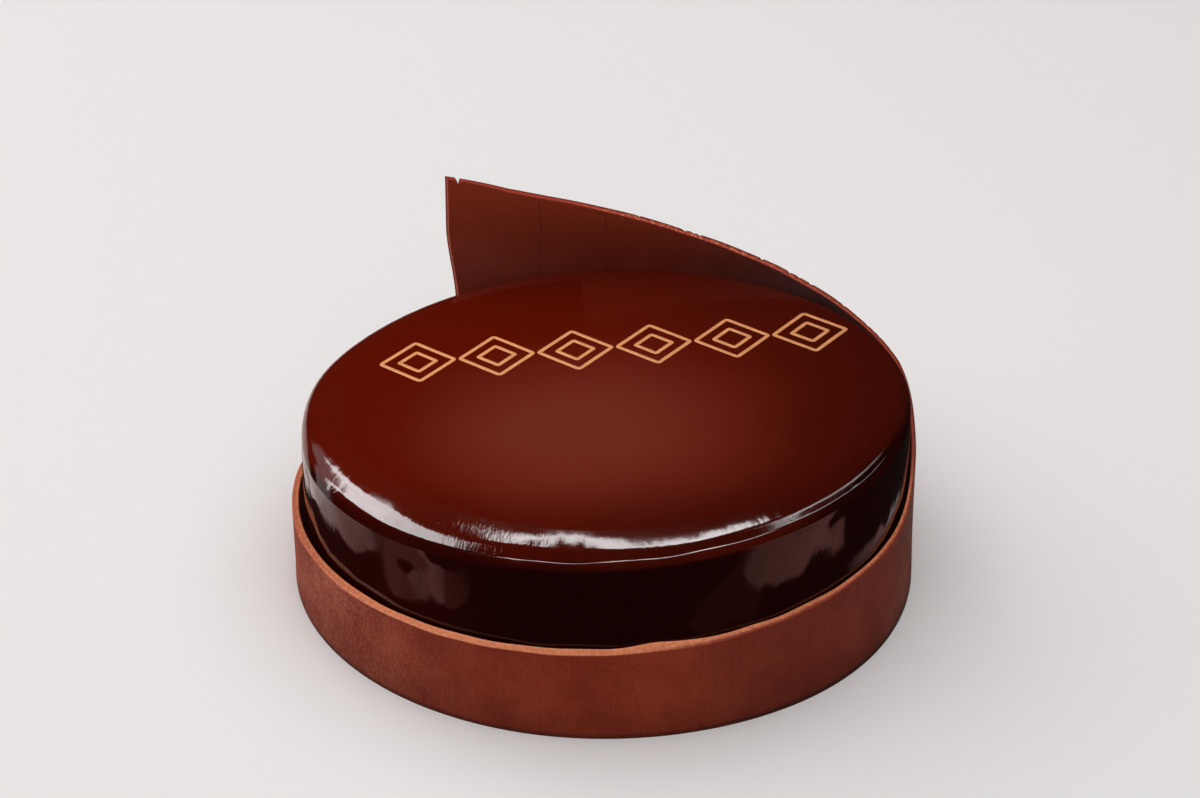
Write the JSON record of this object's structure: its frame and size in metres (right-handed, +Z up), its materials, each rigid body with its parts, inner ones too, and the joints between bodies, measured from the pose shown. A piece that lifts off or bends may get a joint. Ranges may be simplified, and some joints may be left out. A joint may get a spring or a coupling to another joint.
{
  "type": "sachertorte cake",
  "caption": "Round chocolate torte under a smooth poured glaze, wrapped in a moulded chocolate band that is low at the front and climbs to a tall point at the back.",
  "frame": {"origin": "on the table, in the middle of the band", "axes": "+Z up; -Y towards the low front of the band; +X to the right, where the band climbs; the tall point is at the back, left of +Y"},
  "size_m": [0.19, 0.1904, 0.0893],
  "materials": {
    "glaze": "poured dark chocolate glaze, mirror gloss, faintly see-through at the surface",
    "moulded_chocolate": "set milk chocolate, satin to matt, with a paler cut rim",
    "gold_lines": "thin gold-coloured line work on the glaze, satin"
  },
  "bodies": {
    "root": {"glazed_torte": "glaze", "chocolate_band": "moulded_chocolate"}
  },
  "joints": []
}
